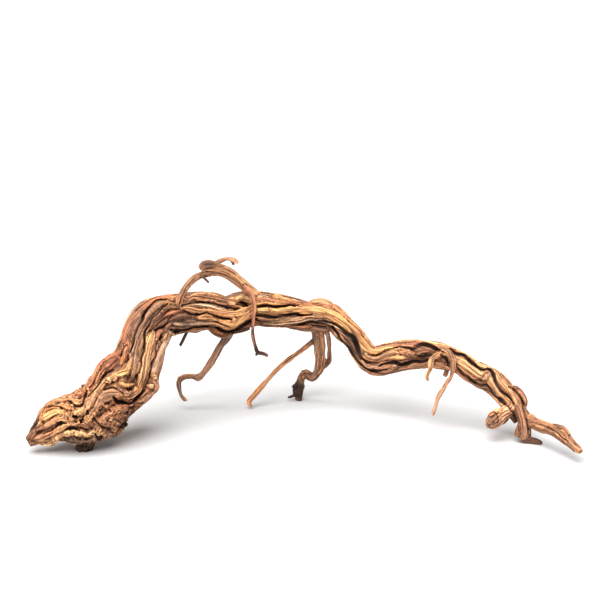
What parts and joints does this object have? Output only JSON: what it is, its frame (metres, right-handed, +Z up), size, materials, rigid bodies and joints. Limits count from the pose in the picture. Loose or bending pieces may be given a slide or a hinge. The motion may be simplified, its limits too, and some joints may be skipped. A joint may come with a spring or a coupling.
{
  "type": "curly driftwood",
  "caption": "Long arched piece of dry vine wood with a gnarled root burl, deep cracks between twisted strands, and thin curled roots; decor to stand on a surface.",
  "frame": {"origin": "centre of the bounding box's footprint, on the surface that the wood stands on", "axes": "+X along the wood's length from the root burl to the slim end, +Y back from the side that the picture shows, +Z up"},
  "size_m": [0.6881, 0.2316, 0.2251],
  "materials": {
    "driftwood": "dry, matt, unfinished, with dark cracks"
  },
  "bodies": {
    "root": {"driftwood": "driftwood"}
  },
  "joints": []
}
